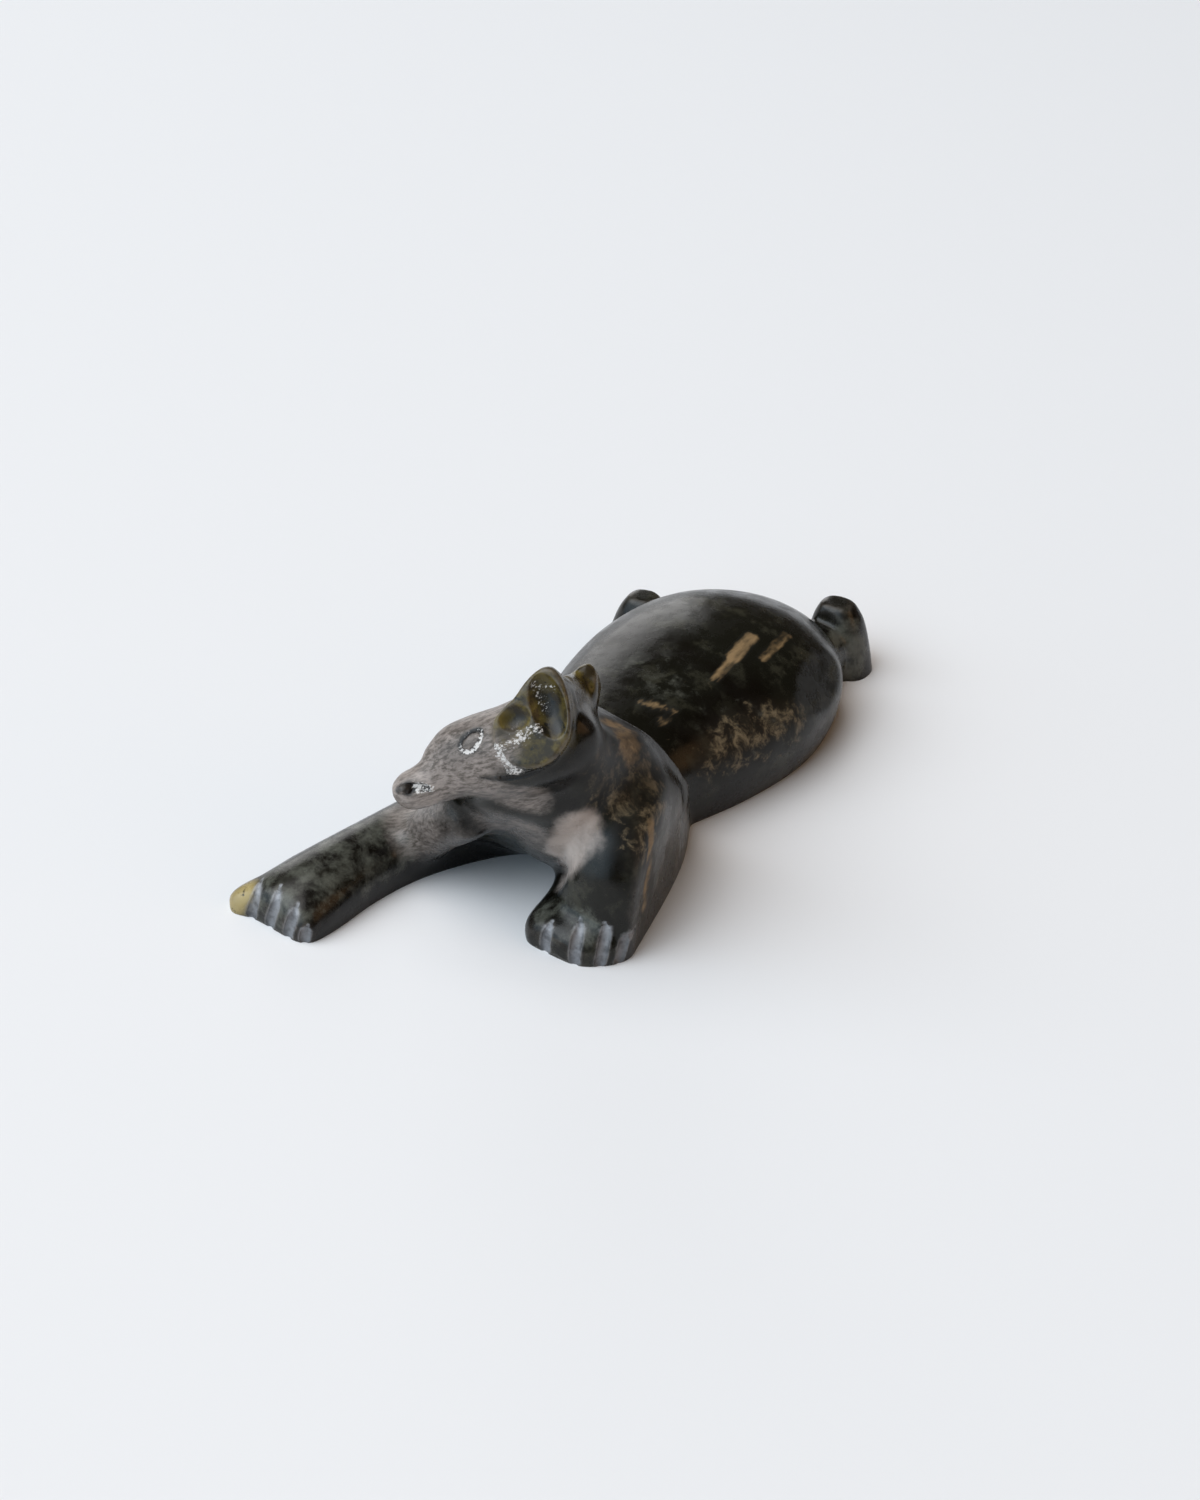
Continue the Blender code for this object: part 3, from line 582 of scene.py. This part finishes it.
# where the stone changes: a colour, then places (from, to, reach, strength) in millimetres
patches = {
    "amber": (
        ((4.5, 10.4, 12.1), (5.0, 6.2, 11.9), 0.85, 1.0),
        ((5.1, 5.8, 11.8), (5.2, 2.4, 11.4), 0.6, 0.8),
        ((6.5, 14.2, 11.3), (7.0, 8.6, 11.4), 0.6, 0.70),
        ((1.4, -5.2, 11.1), (4.4, -4.0, 10.7), 0.6, 0.8),
        ((4.2, -6.0, 10.4), (4.4, -5.6, 10.3), 0.7, 0.7),
        ((7.2, -19.0, 17.2), (9.8, -21.0, 17.2), 2.3, 0.85),
        # along the left arm's ridge: a painted warm reflection
        ((14.1, -23.6, 12.0), (14.3, -24.3, 8.7), 0.8, 1.0),
        ((14.3, -24.4, 8.4), (14.4, -25.2, 4.2), 0.6, 1.0),
    ),
    "tan": (
        ((10.3, -27.2, 19.0), (10.5, -22.8, 16.6), 3.2, 0.66),
        ((10.6, -22.4, 16.0), (11.6, -19.8, 14.4), 3.0, 0.66),
        ((10.8, -25.6, 15.2), (12.2, -22.4, 14.0), 3.2, 0.68),
        ((13.4, -22.6, 12.4), (14.3, -25.4, 10.4), 2.6, 0.70),
        ((11.2, 3.4, 7.9), (9.6, -1.6, 8.1), 2.8, 0.72),
        ((11.3, 1.4, 6.6), (9.4, -4.0, 7.0), 2.6, 0.66),
        ((12.1, 5.0, 6.9), (12.2, 7.0, 7.0), 2.4, 0.62),
    ),
    "pale": (
        ((3.4, -31.4, 22.0), (-6.2, -35.4, 15.2), 3.8, 1.0),
        ((3.0, -34.0, 17.0), (6.0, -32.0, 16.0), 2.6, 0.6),
        ((-3.0, -29.5, 9.6), (-8.5, -28.2, 6.0), 4.2, 0.55),
        ((2.0, -30.0, 12.0), (5.0, -29.0, 10.0), 3.4, 0.5),
    ),
    "bare": (
        ((-5.2, -36.4, 16.2), (-2.4, -35.9, 15.6), 2.0, 0.5),
        # on the inner arm: pale stone painted brighter as a painted sheen
        ((9.4, -28.6, 12.6), (7.6, -27.2, 8.0), 2.4, 0.9),
        ((8.4, -27.6, 8.0), (6.6, -26.4, 4.6), 1.6, 0.9),
        ((-6.5, -27.5, 7.6), (-3.6, -29.0, 10.4), 1.5, 0.6),
    ),
    "moss": (
        ((-13.0, -40.0, 3.8), (-10.2, -31.5, 5.0), 4.6, 0.82),
        ((-15.6, -42.4, 2.6), (-12.0, -42.6, 2.8), 2.8, 0.8),
        ((7.6, -29.6, 3.0), (11.4, -30.2, 3.2), 2.4, 0.7),
        ((-2.0, 0.5, 12.0), (2.4, -1.0, 11.4), 3.4, 0.5),
        ((7.0, 27.0, 4.8), (7.6, 27.2, 2.0), 2.6, 1.0),
        ((9.0, -2.0, 8.5), (12.0, 5.0, 7.0), 4.0, 0.4),
    ),
    "yellow": (
        ((-18.4, -43.4, 0.8), (-17.4, -42.4, 1.9), 1.3, 1.0),
    ),
    "olive": (
        ((4.2, -33.0, 24.2), (6.3, -32.2, 25.5), 1.9, 1.0),
        ((7.6, -33.1, 22.3), (9.1, -32.0, 23.6), 1.6, 0.9),
        ((8.3, -30.8, 25.4), (8.2, -30.4, 27.2), 1.5, 1.0),
        ((8.2, -27.6, 25.2), (7.0, -24.4, 24.2), 1.7, 0.7),
        ((6.0, -30.7, 28.6), (7.9, -30.6, 26.6), 1.6, 0.7),
        ((6.4, -30.6, 27.6), (7.4, -30.5, 25.2), 2.0, 0.9),
        ((3.4, -28.0, 26.0), (6.6, -25.6, 25.0), 2.8, 1.0),
        ((5.0, -31.6, 27.0), (7.4, -30.4, 28.2), 1.6, 0.7),
        ((5.8, -22.4, 25.6), (6.4, -24.0, 24.6), 2.2, 0.9),
    ),
    # dark stone, partly painted shade in the hollows round the near ear and on the web between the ears
    "dark": (
        ((8.8, -27.8, 24.0), (9.8, -26.0, 19.0), 3.4, 0.7),
        ((10.2, -19.8, 15.6), (10.8, -22.4, 14.4), 3.0, 0.5),
        ((9.6, -31.4, 21.6), (8.4, -32.0, 19.6), 1.4, 0.5),
        ((8.8, -27.2, 24.4), (7.6, -25.2, 23.4), 1.5, 0.6),
        ((1.0, -34.4, 21.6), (-0.6, -34.4, 20.4), 2.2, 0.34),
    ),
    "chalk": (
        ((7.0, -32.7, 24.2), (4.6, -33.7, 22.2), 0.85, 0.66),
        ((4.2, -34.0, 21.8), (5.9, -33.9, 20.0), 0.90, 0.72),
        ((5.6, -31.0, 27.4), (7.0, -30.5, 27.3), 0.60, 0.55),
        ((5.7, -30.9, 27.0), (6.8, -30.9, 25.4), 0.60, 0.52),
    ),
    # dark pits by the near ear and in its cup, partly painted shade
    "pits": (
        ((6.3, -33.0, 24.2), (7.2, -32.6, 24.3), 0.35, 0.8),
        ((7.7, -32.2, 24.4), (8.3, -31.9, 24.3), 0.5, 0.8),
        ((5.9, -31.0, 26.4), (6.9, -30.9, 25.5), 0.5, 0.7),
    ),
}

# how the patches and the shades of the carved lines are laid on
shading = {
    # how many reaches away a patch fades out
    "patchSpill": 1.45,
    # how far the shade of a line spills past it, in half-widths of the line
    "spill": {"flute": 1.25, "eye": 1.7, "jaw": 1.6, "nostril": 1.8},
    # how strong that shade is along or round the line (how wide for a flute): start, slope, least and most
    "strength": {
        "flute": (0.0, 4.0, 0.3, 1.0),
        "eyeChalk": (0.68, 0.30, 0.0, 1.0),
        "eyeShade": (0.65, -0.90, 0.2, 1.0),
        "nostrilChalk": (-1.0, 3.0, 0.0, 0.78),
        "nostrilShade": (2.0, -2.4, 0.0, 1.0),
    },
    # how far round the eye, in radians, its shades are turned, and their width against that of the eye's line
    "eyeTurn": 0.2,
    "eyeNarrow": 0.75,
}


def paintPlaces(obj, places):
    # one shade for all the places of a colour, full near the line between its two ends and soft at its reach
    points = pointsOf(obj)
    shade = np.zeros(len(points))
    for start, end, reach, strength in places:
        a, b = np.array(start), np.array(end)
        along = np.clip((points - a) @ (b - a) / max((b - a) @ (b - a), 1e-9), 0, 1)
        far = np.linalg.norm(points - (a + along[:, None] * (b - a)), axis=1)
        soft = np.clip(shading["patchSpill"] - far / reach, 0, 1)
        shade = np.maximum(shade, strength * soft * soft * (3 - 2 * soft))
    return shade


def keepShade(obj, name, shade):
    layer = obj.data.attributes.new(name, "FLOAT", "POINT")
    layer.data.foreach_set("value", shade)


# edges painted paler, partly as wear and partly as a painted highlight, and painted shade in the hollows: edges
# shorter than longestEdge carry the smoothing, in this many rounds, and what stands out of the smoothed stone or
# sinks into it by more than "from" shows, fully so after the range
edgeAndHollowShading = {"longestEdge": 0.6, "rounds": 10, "from": 0.012, "range": 0.045}


def standsOut(obj):
    # how far each point stands out of the smoothed stone round it, in millimetres
    points = pointsOf(obj)
    pairs = np.empty(len(obj.data.edges) * 2, dtype=np.int32)
    obj.data.edges.foreach_get("vertices", pairs)
    a, b = pairs.reshape(-1, 2).T
    short = np.linalg.norm(points[a] - points[b], axis=1) < edgeAndHollowShading["longestEdge"]
    a, b = a[short], b[short]
    count = np.bincount(a, minlength=len(points)) + np.bincount(b, minlength=len(points))
    smooth = points.copy()
    for _ in range(edgeAndHollowShading["rounds"]):
        total = np.zeros_like(points)
        for axis in range(3):
            total[:, axis] = (np.bincount(a, smooth[b, axis], len(points))
                              + np.bincount(b, smooth[a, axis], len(points)))
        smooth = np.where(count[:, None] > 0, 0.5 * smooth + 0.5 * total / np.maximum(count, 1)[:, None], smooth)
    normals = np.empty(len(points) * 3)
    obj.data.vertex_normals.foreach_get("vector", normals)
    return ((points - smooth) * normals.reshape(-1, 3)).sum(axis=1)


def strengthAlong(name, where):
    start, slope, least, most = shading["strength"][name]
    return np.clip(start + slope * where, least, most)


def closeTo(name, far, halfWidth):
    return np.clip(shading["spill"][name] - far / halfWidth, 0, 1)


def addShade(name, shade):
    lines[name] = np.maximum(lines[name], shade)


# the carved lines carry shades of their own
points = pointsOf(body)
lines = {name: np.zeros(len(points)) for name in ("chalk", "pits", "flute")}
for path, _ in linePaths["toe"]:
    far, which = nearestOn(points, path)
    addShade("flute", closeTo("flute", far, paws["halfWidth"] * strengthAlong("flute", which / (len(path) - 1))))
# the eye rings, the jaw step and the nostrils are darkened in their grooves and on one side as painted shade
for i, (path, _) in enumerate(linePaths["eye"]):
    far, which = nearestOn(points, path)
    height = np.sin(which * 2 * pi / len(path) - shading["eyeTurn"])
    near = closeTo("eye", far, shading["eyeNarrow"] * head["eyeLine"])
    if i == 0:  # only the near eye keeps its chalk
        addShade("chalk", near * strengthAlong("eyeChalk", height))
    addShade("pits", near * strengthAlong("eyeShade", height))
for path, _ in linePaths["jaw"]:
    far, which = nearestOn(points, path)
    taper = np.sin(pi * (head["jawTrim"] + (1 - 2 * head["jawTrim"]) * which / len(path)))
    addShade("pits", closeTo("jaw", far, head["jawLine"][0] * taper))
for path, _, widths in linePaths["nostril"]:
    far, which = nearestOn(points, path)
    near = closeTo("nostril", far, widths[which])
    addShade("chalk", near * strengthAlong("nostrilChalk", which / (len(path) - 1)))
    addShade("pits", near * strengthAlong("nostrilShade", which / (len(path) - 1)))
for name in sorted(set(patches) | set(lines)):
    shade = paintPlaces(body, patches[name]) if name in patches else np.zeros(len(points))
    keepShade(body, name, np.maximum(shade, lines.get(name, 0)))
stands = standsOut(body)
# edge: paler where the stone stands out, partly wear and partly a painted highlight; hollowShade: painted shade where
# it sinks in
keepShade(body, "edge", np.clip((stands - edgeAndHollowShading["from"]) / edgeAndHollowShading["range"], 0, 1))
keepShade(body, "hollowShade", np.clip((-stands - edgeAndHollowShading["from"]) / edgeAndHollowShading["range"], 0, 1))
print("patches of colour placed:", ", ".join(patches), "and worn edges up to", round(float(stands.max()), 3), "mm")

body.data.transform(toFrame)
body.data.shade_smooth()
body.name = "carvedBear"
body.data.name = "carvedBear"


def addNode(tree, kind, inputs=(), **settings):
    made = tree.nodes.new("ShaderNode" + kind)
    for name, value in settings.items():
        setattr(made, name, value)
    for name, value in dict(inputs).items():
        if isinstance(value, bpy.types.NodeSocket):
            tree.links.new(value, made.inputs[name])
        else:
            made.inputs[name].default_value = value
    return made


def noiseOf(tree, where, scale, detail=4.0, roughness=0.55, distortion=0.0):
    return addNode(tree, "TexNoise", {"Vector": where, "Scale": scale, "Detail": detail, "Roughness": roughness,
                                      "Distortion": distortion}).outputs["Fac"]


def between(tree, value, low, high, outLow=0.0, outHigh=1.0):
    return addNode(tree, "MapRange", {"Value": value, "From Min": low, "From Max": high, "To Min": outLow,
                                      "To Max": outHigh}, interpolation_type="SMOOTHSTEP").outputs["Result"]


def mathOf(tree, operation, a, b):
    return addNode(tree, "Math", {0: a, 1: b}, operation=operation).outputs["Value"]


def blendOf(tree, amount, a, b):
    made = addNode(tree, "Mix", data_type="RGBA")
    for index, value in ((0, amount), (6, a), (7, b)):
        if isinstance(value, bpy.types.NodeSocket):
            tree.links.new(value, made.inputs[index])
        else:
            made.inputs[index].default_value = value
    return made.outputs[2]


def shadeOf(tree, name):
    return addNode(tree, "Attribute", attribute_name=name, attribute_type="GEOMETRY").outputs["Fac"]


# colours of the stone, then how coarse each noise on it is: the larger the number, the finer the noise
stone = {
    "black": (0.0026, 0.0019, 0.0010, 1),
    "blackGreen": (0.0060, 0.0062, 0.0038, 1),
    "mottle": (0.028, 0.027, 0.018, 1),
    "moss": (0.085, 0.086, 0.070, 1),
    "tan": (0.165, 0.128, 0.078, 1),
    # amber veins, and the painted warm reflection along the left arm's ridge
    "amber": (0.250, 0.165, 0.080, 1),
    "taupe": (0.255, 0.214, 0.190, 1),
    "taupeDark": (0.088, 0.072, 0.060, 1),
    # pale bare stone, painted brighter as a painted sheen on the inner arm and breast
    "bare": (0.420, 0.355, 0.315, 1),
    "olive": (0.108, 0.080, 0.020, 1),
    "oliveDark": (0.030, 0.022, 0.010, 1),
    "yellow": (0.330, 0.255, 0.110, 1),
    "chalk": (0.600, 0.570, 0.540, 1),
    "flute": (0.420, 0.420, 0.440, 1),
    # paler rubbed edges, partly a painted highlight
    "edge": (0.140, 0.118, 0.100, 1),
    # near black, for painted shade in the hollows and carved lines, and for pits
    "shadeAndPitBlack": (0.004, 0.004, 0.004, 1),
    "broadScale": 80,
    "cloudScale": 330,
    "mossScale": 520,
    "tanScale": 600,
    "bareAndSheenScale": 420,
    "oliveScale": 620,
    "streakScale": 900,
    "grainScale": 1100,
    "fleckScale": 2600,
    "polishScale": 500,
    "reliefScale": 220,
    # these follow the head, so they are counted in its own millimetres
    "scuffScale": 2.4,
    "strokeScale": 4.4,
    "scratchScale": 6.0,
    # how the border of a patch breaks up: the weight of its noise, then where the patch begins and where it is full
    "raggedMoss": (2.6, 1.75, 2.60),
    "raggedTan": (3.6, 2.30, 3.05),
    "raggedPale": (0.7, 0.55, 1.15),
    "raggedBareAndSheen": (1.1, 0.75, 1.65),
    "raggedAmberAndGlint": (2.0, 1.35, 2.15),
    # roughness: polished stone from and to, then rubbed, dry, chalky and fluted places
    "polish": (0.18, 0.32),
    "paleRoughness": 0.36,
    "dryRoughness": 0.62,
    "chalkRoughness": 0.75,
    "fluteRoughness": 0.5,
    "indexOfRefraction": 1.36,
    "reliefStrength": 0.4,
    "reliefDepth": 0.0002,
}


def ragged(tree, shade, noise, border):
    # a painted patch whose border is broken up by the noise
    weight, begins, full = border
    return between(tree, mathOf(tree, "ADD", shade, mathOf(tree, "MULTIPLY", noise, weight)), begins, full)


def grained(tree, name, grain, low, high, least=0.0, most=1.0):
    # a painted patch that lets the grain of the stone show
    return mathOf(tree, "MULTIPLY", shadeOf(tree, name), between(tree, grain, low, high, least, most))


def stretched(tree, place, scale, tip=0.0):
    # coordinates tipped about X and stretched, so that a noise on them runs in streaks
    return addNode(tree, "Mapping", {"Vector": place, "Rotation": (tip, 0, 0), "Scale": scale}).outputs["Vector"]


def makeStone():
    made = bpy.data.materials.new("soapstone")
    made.use_nodes = True
    tree = made.node_tree
    shader = tree.nodes["Principled BSDF"]
    where = addNode(tree, "TexCoord").outputs["Object"]
    toHead = (toFrame @ headPlace).inverted()
    onHead = addNode(tree, "Mapping", {"Vector": where, "Location": toHead.translation, "Rotation": toHead.to_euler(),
                                       "Scale": toHead.to_scale()}).outputs["Vector"]
    cloud = noiseOf(tree, where, stone["cloudScale"], 8, 0.66, 0.15)
    broad = noiseOf(tree, where, stone["broadScale"], 3, 0.5, 0.2)
    flecks = noiseOf(tree, where, stone["fleckScale"], 3, 0.6)
    grain = noiseOf(tree, where, stone["grainScale"], 5, 0.65)

    # the dark stone, with a green-black mottle in it
    colour = blendOf(tree, between(tree, broad, 0.40, 0.60), stone["black"], stone["blackGreen"])
    mottle = mathOf(tree, "MULTIPLY", between(tree, cloud, 0.50, 0.64), between(tree, broad, 0.42, 0.60, 0.25, 0.9))
    colour = blendOf(tree, mottle, colour, stone["mottle"])

    # clouds of moss grey, and sandy places where the polish never took
    patchy = noiseOf(tree, where, stone["mossScale"], 7, 0.68, 0.2)
    moss = ragged(tree, shadeOf(tree, "moss"), patchy, stone["raggedMoss"])
    colour = blendOf(tree, moss, colour, stone["moss"])
    sandy = noiseOf(tree, where, stone["tanScale"], 8, 0.72, 0.4)
    tan = ragged(tree, shadeOf(tree, "tan"), sandy, stone["raggedTan"])
    colour = blendOf(tree, tan, colour, stone["tan"])

    # rubbed pale stone on the face and breast, scuffed along the muzzle, and bare stone painted brighter still on the
    # inner arm and breast as a painted sheen
    scuffed = noiseOf(tree, stretched(tree, onHead, (1, 0.35, 1.3), 0.45), stone["scuffScale"], 9, 0.72, 0.2)
    taupe = blendOf(tree, between(tree, scuffed, 0.38, 0.60), stone["taupeDark"], stone["taupe"])
    pale = ragged(tree, shadeOf(tree, "pale"), cloud, stone["raggedPale"])
    colour = blendOf(tree, pale, colour, taupe)
    chipped = noiseOf(tree, where, stone["bareAndSheenScale"], 6, 0.6)
    bare = ragged(tree, shadeOf(tree, "bare"), chipped, stone["raggedBareAndSheen"])
    colour = blendOf(tree, bare, colour, stone["bare"])

    # olive in the ears and on the cheek, one yellow toe, amber streaks, of which the ones along the left arm's ridge
    # are a painted warm reflection
    depthOfOlive = between(tree, noiseOf(tree, where, stone["oliveScale"], 4, 0.6), 0.40, 0.60)
    olive = blendOf(tree, depthOfOlive, stone["oliveDark"], stone["olive"])
    colour = blendOf(tree, grained(tree, "olive", grain, 0.30, 0.42), colour, olive)
    colour = blendOf(tree, grained(tree, "yellow", grain, 0.30, 0.44), colour, stone["yellow"])
    streaky = noiseOf(tree, stretched(tree, where, (1, 0.3, 1)), stone["streakScale"], 5, 0.62)
    amber = ragged(tree, shadeOf(tree, "amber"), streaky, stone["raggedAmberAndGlint"])
    colour = blendOf(tree, amber, colour, stone["amber"])
    # dark stone, partly painted shade in the hollows round the near ear and between the ears
    colour = blendOf(tree, grained(tree, "dark", grain, 0.34, 0.50), colour, stone["black"])

    # edges painted paler, partly as wear and partly as a painted highlight, painted shade in the hollows, the flutes
    # between the toes, pits with painted shade in the carved lines, and chalk
    colour = blendOf(tree, grained(tree, "edge", grain, 0.34, 0.60, 0.10, 0.50), colour, stone["edge"])
    colour = blendOf(tree, mathOf(tree, "MULTIPLY", shadeOf(tree, "hollowShade"), 0.8), colour, stone["shadeAndPitBlack"])
    flute = grained(tree, "flute", grain, 0.30, 0.60, 0.45, 1.0)
    colour = blendOf(tree, flute, colour, stone["flute"])
    colour = blendOf(tree, grained(tree, "pits", grain, 0.36, 0.50), colour, stone["shadeAndPitBlack"])
    strokes = noiseOf(tree, stretched(tree, onHead, (1, 0.7, 1), 0.7), stone["strokeScale"], 6, 0.72)
    chalky = mathOf(tree, "ADD", strokes, mathOf(tree, "MULTIPLY", shadeOf(tree, "chalk"), 0.45))
    chalk = between(tree, chalky, 0.76, 0.86)
    colour = blendOf(tree, chalk, colour, stone["chalk"])
    tree.links.new(colour, shader.inputs["Base Color"])
    shader.inputs["IOR"].default_value = stone["indexOfRefraction"]

    low, high = stone["polish"]
    rough = between(tree, noiseOf(tree, where, stone["polishScale"], 5, 0.6), 0.35, 0.65, low, high)
    dry = mathOf(tree, "MAXIMUM", shadeOf(tree, "tan"), shadeOf(tree, "amber"))
    for place, value in ((pale, stone["paleRoughness"]), (dry, stone["dryRoughness"]),
                         (chalk, stone["chalkRoughness"]), (flute, stone["fluteRoughness"])):
        rough = addNode(tree, "Mix", {0: place, 2: rough, 3: value}).outputs[0]
    tree.links.new(rough, shader.inputs["Roughness"])

    # fine relief: a soft unevenness all over, flecks, scratches on the pale stone, and the crust of the chalk
    scratches = noiseOf(tree, stretched(tree, onHead, (1, 1, 0.12), 0.5), stone["scratchScale"], 3, 0.6)
    uneven = noiseOf(tree, where, stone["reliefScale"], 3, 0.5)
    height = mathOf(tree, "ADD", mathOf(tree, "MULTIPLY", uneven, 0.5), mathOf(tree, "MULTIPLY", flecks, 0.12))
    scratched = mathOf(tree, "MULTIPLY", scratches, pale)
    height = mathOf(tree, "ADD", height, mathOf(tree, "MULTIPLY", scratched, 0.35))
    crust = mathOf(tree, "MULTIPLY", strokes, shadeOf(tree, "chalk"))
    height = mathOf(tree, "ADD", height, mathOf(tree, "MULTIPLY", crust, 1.2))
    relief = {"Strength": stone["reliefStrength"], "Distance": stone["reliefDepth"], "Height": height}
    tree.links.new(addNode(tree, "Bump", relief).outputs["Normal"], shader.inputs["Normal"])
    return made


body.data.materials.clear()
body.data.materials.append(makeStone())
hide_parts("bear_carving")
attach(body, "root")
print("stone finished:", len(body.data.vertices), "vertices")

# floor, light and camera
studio = {
    "floorSize": 3.0,
    "floorColour": (0.80, 0.80, 0.81, 1),
    "floorRoughness": 0.9,
    # the dim room, then its paler side: azimuth, elevation, inner and outer half-angle, colour and strength
    "room": ((1.0, 0.80, 0.62), 0.07),
    "paleSide": (-28, 24, 26, 54, (0.64, 0.83, 1.0), 1.8),
    # each soft light: azimuth as the camera's, elevation, distance, size, power and colour
    "lights": (
        (-42, 58, 1.5, 1.9, 27, (1.0, 0.985, 0.97)),
        (-133, 15, 1.8, 0.9, 5.0, (1.0, 1.0, 1.0)),
        (100, 30, 1.5, 0.9, 2.6, (1.0, 0.58, 0.28)),
    ),
    # the camera: where it stands round the aim, then its roll and lens
    "azimuth": 31.0,
    "elevation": 33.0,
    "distance": 0.3093,
    "aim": (-0.0038, 0.0059, 0.0),
    "roll": 3.18,
    "lens": 73.6,
}


def awayFrom(azimuth, elevation):
    a, e = radians(azimuth), radians(elevation)
    return Vector((sin(a) * cos(e), -cos(a) * cos(e), sin(e)))


bm = bmesh.new()
bmesh.ops.create_grid(bm, x_segments=1, y_segments=1, size=studio["floorSize"])
floor = newObject("floor", bm)
cloth = bpy.data.materials.new("paleCloth")
cloth.use_nodes = True
weave = cloth.node_tree.nodes["Principled BSDF"]
weave.inputs["Base Color"].default_value = studio["floorColour"]
weave.inputs["Roughness"].default_value = studio["floorRoughness"]
floor.data.materials.append(cloth)

world = bpy.data.worlds.new("studio")
bpy.context.scene.world = world
world.use_nodes = True
sky = world.node_tree
direction = addNode(sky, "TexCoord").outputs["Generated"]
azimuth, elevation, inner, outer, paleColour, paleStrength = studio["paleSide"]
facing = addNode(sky, "VectorMath", {0: direction, 1: awayFrom(azimuth, elevation)}, operation="DOT_PRODUCT")
paleHere = between(sky, facing.outputs["Value"], cos(radians(outer)), cos(radians(inner)))
roomColour, roomStrength = studio["room"]
sky.links.new(blendOf(sky, paleHere, (*[c * roomStrength for c in roomColour], 1),
                      (*[c * paleStrength for c in paleColour], 1)), sky.nodes["Background"].inputs["Color"])
for i, (azimuth, elevation, distance, size, power, colour) in enumerate(studio["lights"]):
    lamp = bpy.data.lights.new("softbox%d" % i, "AREA")
    lamp.size = size
    lamp.energy = power
    lamp.color = colour
    holder = bpy.data.objects.new(lamp.name, lamp)
    back = awayFrom(azimuth, elevation)
    holder.location = back * distance
    holder.rotation_euler = (-back).to_track_quat("-Z", "Y").to_euler()
    bpy.context.scene.collection.objects.link(holder)

camera = bpy.data.objects.new("camera", bpy.data.cameras.new("camera"))
bpy.context.scene.collection.objects.link(camera)
back = awayFrom(studio["azimuth"], studio["elevation"])
camera.location = Vector(studio["aim"]) + back * studio["distance"]
roll = Quaternion((0, 0, 1), radians(studio["roll"]))
camera.rotation_mode = "QUATERNION"
camera.rotation_quaternion = (-back).to_track_quat("-Z", "Y") @ roll
camera.data.lens = studio["lens"]
camera.data.clip_start = 0.01
bpy.context.scene.camera = camera
bpy.context.scene.view_settings.view_transform = "Standard"
print("floor, lights and camera set")
